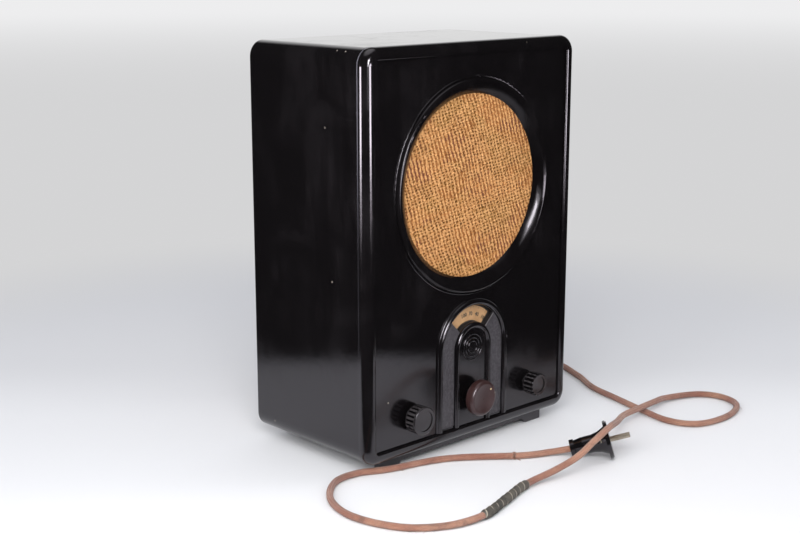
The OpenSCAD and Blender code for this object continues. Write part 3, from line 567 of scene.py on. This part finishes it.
def cord_lay(p):
    """Turns round the cord, millimetres along it, and both as one vector."""
    lay = p.node("ShaderNodeAttribute", attribute_type="GEOMETRY", attribute_name="lay").outputs["Vector"]
    turn, along, _ = p.split(lay)
    return turn, along, lay


def hump(p, value):
    """A rounded ridge over each whole step of the value."""
    return p.absolute(p.math("SINE", p.times(value, math.pi)))


def crossing(p, a, b):
    """0 or 1 by turns over the squares of a weave."""
    return p.math("PINGPONG", p.plus(p.math("FLOOR", a), p.math("FLOOR", b)), 1.0)


def braid_cover(name):
    """Cotton braid: two sets of yarns crossing over and under, with worn and dirty stretches, painted shade
    between the yarns and a painted highlight on their crests.
    """
    p = Paint(name)
    turn, along, lay = cord_lay(p)
    yarns, lead = 9.0, 15.0
    across = p.times(turn, yarns)
    run = p.times(along, yarns / lead)
    right, left = p.plus(across, run), p.minus(across, run)
    over = crossing(p, right, left)
    top = p.plus(p.times(over, hump(p, right)), p.times(p.minus(1.0, over), hump(p, left)))
    strand = p.noise(1.0, 3.0, 0.7, at=p.scaled(90.0, 5.0, 1.0, at=lay))
    height = p.plus(p.times(top, 0.8), p.times(strand, 0.3))
    worn = p.ramp(p.noise(16.0, 4.0, 0.65), 0.38, 0.68)
    grime = p.ramp(p.noise(42.0, 5.0, 0.7, distortion=0.8), 0.50, 0.74)
    base = p.mix(worn, (0.255, 0.096, 0.058), (0.395, 0.198, 0.128))
    base = p.mix(p.times(grime, 0.75), base, (0.130, 0.062, 0.042))
    # Painted shade low between the yarns and a painted highlight on their crests
    shade = p.mix(p.ramp(height, 0.15, 0.75, 0.55, 1.12), (0.055, 0.022, 0.015), base)
    return p.done(shade, 0.86, p.bump(height, 0.0004, 0.9), Sheen_Weight=0.25, Sheen_Roughness=0.5)


def cloth_tape(name):
    """Old insulating tape: fine weave, pale frayed edges, and painted shade in the crease at the foot of
    each overlapping edge.
    """
    p = Paint(name)
    turn, along, lay = cord_lay(p)
    phase = p.math("FRACT", p.minus(p.times(along, 1 / TAPE_PITCH), turn))
    warp = p.wave("X", p.scaled(18.0, 0.0, 0.0, at=lay))
    weft = p.wave("Y", p.scaled(0.0, 0.7, 0.0, at=lay))
    blot = p.ramp(p.noise(70.0, 5.0, 0.7), 0.38, 0.66)
    frayed = p.times(p.band(phase, (0.03, 0.09), (0.12, 0.20)), p.ramp(p.noise(120.0, 3.0, 0.6), 0.40, 0.56))
    shade = p.mix(blot, (0.105, 0.092, 0.075), (0.040, 0.036, 0.032))
    shade = p.mix(p.times(frayed, 0.8), shade, (0.42, 0.37, 0.30))
    # Painted shade in the crease at the foot of each turn's overlapping edge
    shade = p.mix(p.times(p.ramp(phase, 0.86, 1.0), 0.8), shade, (0.020, 0.017, 0.015))
    return p.done(shade, 0.82, p.bump(p.plus(p.times(warp, weft), p.noise(260.0, 3.0, 0.6)), 0.00025, 0.6))


def open_weave(name):
    """Coarse loudspeaker cloth: uneven yarns a few millimetres apart, painted highlights on their crests,
    painted shade in the gaps and holes, and broad tone patches.
    """
    p = Paint(name)
    x, _, z = p.split(p.place)

    def wander(scale, size, turn=0.0):
        """A drift of the yarns from their straight lines, in metres."""
        field = p.noise(scale, 2.0, 0.5, at=p.scaled(1, 1, 1, (0, turn, 0)))
        return p.times(p.minus(field, 0.5), size)

    jitter = p.plus(wander(300.0, 0.0036), wander(40.0, 0.0040, 0.4))

    def count(x_share, z_share, period, bend):
        """Yarns counted across the cloth from its middle."""
        line = p.plus(p.times(x, x_share / period), p.times(z, z_share / period))
        return p.plus(line, p.times(p.plus(bend, jitter), 1 / period))

    warp_tilt, warp_pitch = 0.33, 0.0043
    weft_tilt, weft_pitch = 0.17, 0.0031
    warp = count(math.cos(warp_tilt), math.sin(warp_tilt), warp_pitch, wander(9.0, 0.014))
    weft = count(-math.sin(weft_tilt), math.cos(weft_tilt), weft_pitch, wander(7.0, 0.012, 0.9))
    fatness = p.times(p.minus(p.noise(150.0, 3.0, 0.7), 0.5), 1.1)
    up = p.ramp(p.plus(hump(p, warp), fatness), 0.25, 0.85)
    across = p.ramp(p.plus(hump(p, weft), fatness), 0.25, 0.80)
    lift = p.times(crossing(p, warp, weft), 0.30)
    height = p.most(p.times(up, p.plus(0.70, lift)), p.times(across, p.minus(0.92, lift)))
    hairs = p.drawn_noise(1400.0, 400.0, 420.0, 4.0, 0.7, (0, -warp_tilt, 0))
    height = p.plus(height, p.times(p.minus(hairs, 0.5), 0.35))

    # Some patches are open, with holes painted dark as shade, others are drawn tight, with upright ribs
    # alone
    open_part = p.ramp(p.drawn_noise(24.0, 24.0, 38.0, 4.0, 0.6, (0, 0.25, 0)), 0.42, 0.56)
    hole = p.times(p.fall(height, 0.36, 0.84), p.plus(0.10, p.times(open_part, 0.80)))
    hole = p.times(hole, p.ramp(p.noise(430.0, 2.0, 0.6), 0.32, 0.60, 0.25, 1.0))
    rib = p.times(p.minus(1.0, up), p.minus(0.75, p.times(open_part, 0.50)))
    pale = p.most(p.ramp(up, 0.50, 0.95), p.times(p.ramp(across, 0.6, 1.0), open_part))
    pale = p.times(pale, p.ramp(p.noise(480.0, 2.0, 0.6), 0.30, 0.62, 0.25, 0.9))

    # Tones, from the widest patches to the holes
    warm = p.ramp(p.noise(26.0, 3.0, 0.6), 0.40, 0.66)
    olive = p.ramp(p.drawn_noise(16.0, 16.0, 30.0, 3.0, 0.55, (0, 0.2, 0)), 0.46, 0.64)
    plum = p.ramp(p.drawn_noise(21.0, 21.0, 36.0, 3.0, 0.6, (0, 0.25, 0.4)), 0.50, 0.56)
    grain = p.ramp(p.noise(900.0, 2.0, 0.7), 0.30, 0.70)
    shade = p.mix(warm, (0.355, 0.130, 0.031), (0.500, 0.200, 0.060))
    shade = p.mix(p.times(olive, open_part, 0.85), shade, (0.255, 0.125, 0.020))
    # Painted highlight on the yarns' crests
    shade = p.mix(pale, shade, (0.80, 0.425, 0.175))
    # Painted shade between the upright yarns, tinted plum in patches
    shade = p.mix(p.times(rib, p.plus(0.30, plum)), shade, (0.20, 0.070, 0.046))
    shade = p.mix(p.times(grain, 0.42), shade, (0.13, 0.050, 0.010))
    # Painted shade in the holes, where the dark behind the cloth would show through
    shade = p.mix(hole, shade, (0.085, 0.033, 0.005))
    return p.done(shade, 0.9, p.bump(height, 0.0012, 1.0), Specular_IOR_Level=0.1)


# The record's finishes by name, and the scene's own: moulding, ring and ink
MATERIALS = {
    "bakelite": bakelite("bakelite"),
    "moulding": panel_moulding("moulding"),
    "ring": bakelite("ring", shine=0.22),
    "knob_black": ribbed_knob("knob_black"),
    "knob_brown": bakelite("knob_brown", (0.029, 0.0125, 0.0115), (0.044, 0.021, 0.0195), 0.20, haze=0.15),
    "plinth": bakelite("plinth", (0.034, 0.033, 0.035), (0.052, 0.050, 0.052), 0.5, haze=0.15),
    "board": wood("board", (0.42, 0.27, 0.14), (0.30, 0.18, 0.09)),
    "pressboard": plain("pressboard", (0.15, 0.085, 0.045), (0.10, 0.052, 0.026), 0.75, scale=30.0, bump=0.4,
                        depth=0.0003),
    "steel": metal("steel", (0.56, 0.55, 0.52), 0.32),
    "sheet_steel": metal("sheet_steel", (0.48, 0.49, 0.48), 0.42, grain=(25.0, 25.0, 25.0)),
    "basket_steel": plain("basket_steel", (0.055, 0.058, 0.062), (0.035, 0.036, 0.038), 0.45),
    "magnet_red": plain("magnet_red", (0.22, 0.035, 0.022), (0.13, 0.022, 0.016), 0.5),
    "paper": plain("paper", (0.50, 0.40, 0.25), (0.38, 0.29, 0.17), 0.85, scale=90.0, bump=0.6),
    "coil": plain("coil", (0.17, 0.055, 0.022), (0.09, 0.03, 0.014), 0.4, scale=300.0, bump=0.6),
    "aluminium": metal("aluminium", (0.80, 0.81, 0.81), 0.3),
    "dial": plain("dial", (0.035, 0.03, 0.027), (0.02, 0.018, 0.017), 0.55),
    "scale_paper": plain("scale_paper", (0.515, 0.300, 0.140), (0.405, 0.222, 0.095), 0.8, scale=55.0,
                         bump=0.2, depth=0.0001),
    "brass": metal("brass", (0.72, 0.52, 0.20), 0.28),
    "dot": plain("dot", (0.70, 0.56, 0.30), (0.52, 0.38, 0.18), 0.5, scale=800.0),
    "phenolic_brown": plain("phenolic_brown", (0.11, 0.042, 0.02), (0.065, 0.025, 0.013), 0.5),
    "core_iron": plain("core_iron", (0.055, 0.05, 0.047), (0.10, 0.045, 0.025), 0.6, scale=60.0,
                       Metallic=0.3),
    "glass": glass("glass"),
    "anode": plain("anode", (0.06, 0.06, 0.062), (0.035, 0.035, 0.037), 0.55, scale=120.0, Metallic=0.4),
    "can": metal("can", (0.62, 0.62, 0.60), 0.4),
    "resistor": plain("resistor", (0.22, 0.045, 0.022), (0.14, 0.03, 0.016), 0.35),
    "rubber": plain("rubber", (0.022, 0.020, 0.019), (0.035, 0.031, 0.028), 0.7, scale=120.0),
    "pin_metal": metal("pin_metal", (0.42, 0.37, 0.30), 0.34, grain=(300.0, 300.0, 300.0),
                       tarnish=(0.4, 0.33, 0.27), wear=0.9),
    "braid": braid_cover("braid"),
    "tape": cloth_tape("tape"),
    "cloth": open_weave("cloth"),
    "ink": plain("ink", (0.030, 0.025, 0.018), (0.070, 0.055, 0.038), 0.7, scale=700.0, bump=0.1,
                 depth=0.00002),
}


def paint_pieces():
    """Gives each CAD node the material of its slot, and the cord's pieces theirs."""
    slots = {row["node"]: row["material_slot"] for row in frame["record"]["subparts"]}
    slots.update(front_moulding="moulding", speaker_ring="ring")
    for name, node in NODES.items():
        node.data.materials.clear()
        node.data.materials.append(MATERIALS[slots[name]])
    for piece in CORD_PIECES:
        own = "tape" if piece.name == "tape_winding" else "braid"
        piece.data.materials.append(MATERIALS[own])


paint_pieces()


# Loudspeaker cloth: a stretched sheet that sags a little between its threads
CLOTH_R = SPEAKER_R + 7.7
CLOTH_DEPTH, CLOTH_THICK, CLOTH_SAG = 4.42, 0.42, 0.16
CLOTH_RINGS, CLOTH_SPOKES = 46, 120
CLOTH_WAVES, CLOTH_SEED = 7, 7


def cloth_waves():
    """Gentle waves in scattered directions: radians a millimetre, start and heading of each."""
    rng = np.random.default_rng(CLOTH_SEED)
    turn = 2 * math.pi
    return [(rng.uniform(0.02, 0.07), rng.uniform(0, turn), rng.uniform(0, turn))
            for _ in range(CLOTH_WAVES)]


def make_cloth():
    waves = cloth_waves()
    layer = 1 + CLOTH_RINGS * CLOTH_SPOKES

    def corner(side, x, z):
        total = sum(math.sin(k * (x * math.cos(a) + z * math.sin(a)) + b) for k, a, b in waves)
        sag = CLOTH_SAG * total / len(waves) * max(0.0, 1 - math.hypot(x, z) / CLOTH_R)
        return place(x, CLOTH_DEPTH + side * CLOTH_THICK + sag, SPEAKER_Y + z)

    def at(side, i, j):
        return side * layer + (0 if i == 0 else 1 + (i - 1) * CLOTH_SPOKES + j % CLOTH_SPOKES)

    corners, faces = [], []
    for side in (0, 1):
        corners.append(corner(side, 0, 0))
        for i in range(1, CLOTH_RINGS + 1):
            out = CLOTH_R * i / CLOTH_RINGS
            for j in range(CLOTH_SPOKES):
                a = 2 * math.pi * j / CLOTH_SPOKES
                corners.append(corner(side, out * math.cos(a), out * math.sin(a)))
    for j in range(CLOTH_SPOKES):
        faces.append((at(0, 0, 0), at(0, 1, j), at(0, 1, j + 1)))
        faces.append((at(1, 0, 0), at(1, 1, j + 1), at(1, 1, j)))
        for i in range(1, CLOTH_RINGS):
            faces.append((at(0, i, j), at(0, i + 1, j), at(0, i + 1, j + 1), at(0, i, j + 1)))
            faces.append((at(1, i, j), at(1, i, j + 1), at(1, i + 1, j + 1), at(1, i + 1, j)))
        faces.append((at(0, CLOTH_RINGS, j), at(1, CLOTH_RINGS, j),
                      at(1, CLOTH_RINGS, j + 1), at(0, CLOTH_RINGS, j + 1)))
    cloth = add_object("grille_cloth", smooth_mesh("grille_cloth", corners, faces))
    cloth.data.materials.append(MATERIALS["cloth"])
    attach(cloth, "case")
    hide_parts("speaker_cloth")


make_cloth()


# Figures and marks printed on the dial's paper: angles in degrees, the plain numbers at every third mark
MARK_TURN = 5.5
FIGURES = [(101.5 - 3 * MARK_TURN * k, str(100 - 30 * k)) for k in range(4)]
FIGURES += [(241.0 - 3 * MARK_TURN * k, str(100 - 15 * k)) for k in range(7)]
MARKS = [52.0 + MARK_TURN * k for k in range(10)] + [136.5 + MARK_TURN * k for k in range(20)]
FIGURE_R, FIGURE_H, FIGURE_FAT = 31.3, 5.2, 0.18
MARK_END, LONG_MARK, SHORT_MARK, MARK_W = 38.9, 2.5, 1.5, 0.34
PAPER_DEPTH, INK_THICK = 5.66, 0.04


def figure_mesh(text):
    """A number as thin flat letters, a little fattened as printed ink is."""
    curve = bpy.data.curves.new("figures", "FONT")
    curve.body, curve.size = text, FIGURE_H * MM
    curve.extrude, curve.offset = INK_THICK / 2 * MM, FIGURE_FAT * MM
    curve.align_x, curve.align_y = "CENTER", "CENTER"
    holder = bpy.data.objects.new("figures", curve)
    mesh = bpy.data.meshes.new_from_object(holder)
    bpy.data.objects.remove(holder)
    return mesh


def mark_mesh(length):
    """A thin upright bar."""
    box = bmesh.new()
    bmesh.ops.create_cube(box, size=1.0)
    bmesh.ops.scale(box, vec=(MARK_W * MM, length * MM, INK_THICK * MM), verts=box.verts)
    mesh = bpy.data.meshes.new("mark")
    box.to_mesh(mesh)
    box.free()
    return mesh


def make_figures():
    joined = bmesh.new()
    upright = Matrix.Translation(place(0, PAPER_DEPTH, DIAL_Y)) @ Matrix.Rotation(math.radians(90), 4, "X")

    def printed(mesh, turn, radius):
        """Stands a mesh on the dial at its angle and distance from the axis."""
        turned = Matrix.Rotation(math.radians(turn - 90), 4, "Z")
        mesh.transform(upright @ turned @ Matrix.Translation((0, radius * MM, 0)))
        joined.from_mesh(mesh)
        bpy.data.meshes.remove(mesh)

    for angle, text in FIGURES:
        printed(figure_mesh(text), angle, FIGURE_R)
    numbered = {angle for angle, _ in FIGURES}
    for angle in MARKS:
        length = LONG_MARK if angle in numbered else SHORT_MARK
        printed(mark_mesh(length), angle, MARK_END - length / 2)
    mesh = bpy.data.meshes.new("scale_figures")
    joined.to_mesh(mesh)
    joined.free()
    figures = add_object("scale_figures", mesh)
    mesh.materials.append(MATERIALS["ink"])
    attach(figures, "dial")


make_figures()


# Stage: a pale floor, lamps, and what the polished moulding mirrors
FLOOR_R = 30.0
FLOOR_NEAR, FLOOR_FAR = (0.765, 0.765, 0.780), (0.66, 0.66, 0.675)
SWEEP_NEAR, SWEEP_FAR = 0.66, 0.85
DARK_ROOM, SCREEN_STRENGTH = 0.022, 19.0
WORLD_STRENGTH = 0.68


def make_stage():
    mesh = bpy.data.meshes.new("floor")
    disc = bmesh.new()
    bmesh.ops.create_circle(disc, cap_ends=True, segments=96, radius=FLOOR_R)
    disc.to_mesh(mesh)
    disc.free()
    floor = add_object("floor", mesh)
    p = Paint("floor")
    x, y, _ = p.split(p.place)
    reach = p.reach(x, y)
    path = p.node("ShaderNodeLightPath").outputs

    def beyond(east, north, start, end):
        """0 to 1 across a line on the floor that faces the direction given."""
        return p.ramp(p.plus(p.times(x, east), p.times(y, north)), start, end)

    def glow(color, strength):
        return p.fill(p.node("ShaderNodeEmission"), Color=color, Strength=strength).outputs[0]

    def screen(middle):
        """A tall lit screen standing beyond the table in one direction, in degrees."""
        off = p.absolute(p.minus(p.math("ARCTAN2", y, x), math.radians(middle)))
        lit = p.ramp(off, math.radians(9.0), math.radians(12.0), SCREEN_STRENGTH, 0.0)
        return p.times(lit, p.math("POWER", p.ramp(reach, 1.0, 2.5), 1.3))

    p.done(p.mix(beyond(0.687, 0.726, 0.02, 0.24), FLOOR_NEAR, FLOOR_FAR), 0.9, Specular_IOR_Level=0.1)

    # The sweep behind the object stays evenly pale, however far it is from the lamps
    sweep = p.times(p.ramp(reach, 0.55, 1.0), path["Is Camera Ray"])
    pale = glow((1.0, 1.0, 1.01), p.ramp(reach, 3.0, 10.0, SWEEP_NEAR, SWEEP_FAR))
    ground = p.blend(sweep, p.shader.outputs[0], pale)

    # The moulding mirrors the white table as far as its edges, and a dark room with two screens beyond
    table_ends = p.most(beyond(0.79, -0.61, 0.300, 0.360), beyond(-0.686, 0.728, 0.390, 0.450))
    table_ends = p.most(table_ends, beyond(-0.69, -0.72, 0.175, 0.215))
    room = glow((1.0, 0.96, 1.0), p.plus(DARK_ROOM, p.plus(screen(160.0), screen(-77.0))))
    seen = p.blend(p.times(table_ends, path["Is Glossy Ray"]), ground, room)
    p.link(seen, p.tree.nodes["Material Output"].inputs["Surface"])
    mesh.materials.append(p.material)


def make_world():
    world = bpy.data.worlds.new("studio")
    world.use_nodes = True
    bpy.context.scene.world = world
    p = Nodes(world.node_tree)
    coords = p.node("ShaderNodeTexCoord").outputs["Generated"]
    path = p.node("ShaderNodeLightPath").outputs
    light = p.tree.nodes["Background"]
    p.fill(light, Color=(0.93, 0.95, 1.0), Strength=WORLD_STRENGTH)

    def glow_toward(aim, start, full, dim, bright):
        direction = p.node("ShaderNodeVectorMath", operation="DOT_PRODUCT")
        p.link(coords, direction.inputs[0])
        p.link(tuple(Vector(aim).normalized()), direction.inputs[1])
        return p.ramp(direction.outputs["Value"], start, full, dim, bright)

    behind_set = glow_toward((0.67, 0.71, 0.15), 0.76, 0.95, 0.035, 1.25)
    overhead = glow_toward((0.0, 0.0, 1.0), 0.78, 0.97, 0.0, 1.6)
    mirrored = p.fill(p.node("ShaderNodeBackground"), Strength=p.plus(behind_set, overhead))
    backdrop = p.fill(p.node("ShaderNodeBackground"), Color=(0.85, 0.85, 0.86))
    lit = p.blend(path["Is Glossy Ray"], light.outputs[0], mirrored.outputs[0])
    seen = p.blend(path["Is Camera Ray"], lit, backdrop.outputs[0])
    p.link(seen, p.tree.nodes["World Output"].inputs["Surface"])


def lamp(name, at, aim, size, watts, only_mirrored=False):
    """A rectangular lamp that either lights the object or shows in its polish."""
    data = bpy.data.lights.new(name, "AREA")
    data.shape = "RECTANGLE"
    data.size, data.size_y = size
    data.energy = watts
    made = add_object(name, data)
    made.location = at
    made.rotation_euler = aimed(Vector(at) - Vector(aim))
    made.visible_glossy = only_mirrored
    made.visible_diffuse = not only_mirrored


make_stage()
make_world()
lamp("key", at=(-1.30, -1.28, 1.40), aim=(0, 0, 0.2), size=(1.0, 1.2), watts=25)
lamp("fill", at=(1.5, -1.2, 1.4), aim=(0, 0, 0.2), size=(0.7, 1.0), watts=8)
lamp("side", at=(-1.6, -0.25, 0.62), aim=(0, 0, 0.12), size=(0.55, 1.0), watts=10)
lamp("table", at=(-0.50, -0.46, 0.40), aim=(-0.08, -0.12, 0), size=(0.40, 0.40), watts=1.8)

# A softbox that the polish mirrors with soft edges: a bright core and two fainter, wider frames
SOFTBOX_AT, SOFTBOX_AIM = (-0.47, -1.98, 0.80), (0.06, 0, 0.2)
for name, size, watts in (("core", (0.36, 0.66), 26), ("halo", (0.66, 1.00), 15), ("haze", (1.00, 1.30), 6)):
    lamp(name, SOFTBOX_AT, SOFTBOX_AIM, size, watts, only_mirrored=True)

bpy.context.scene.view_settings.view_transform = "Standard"
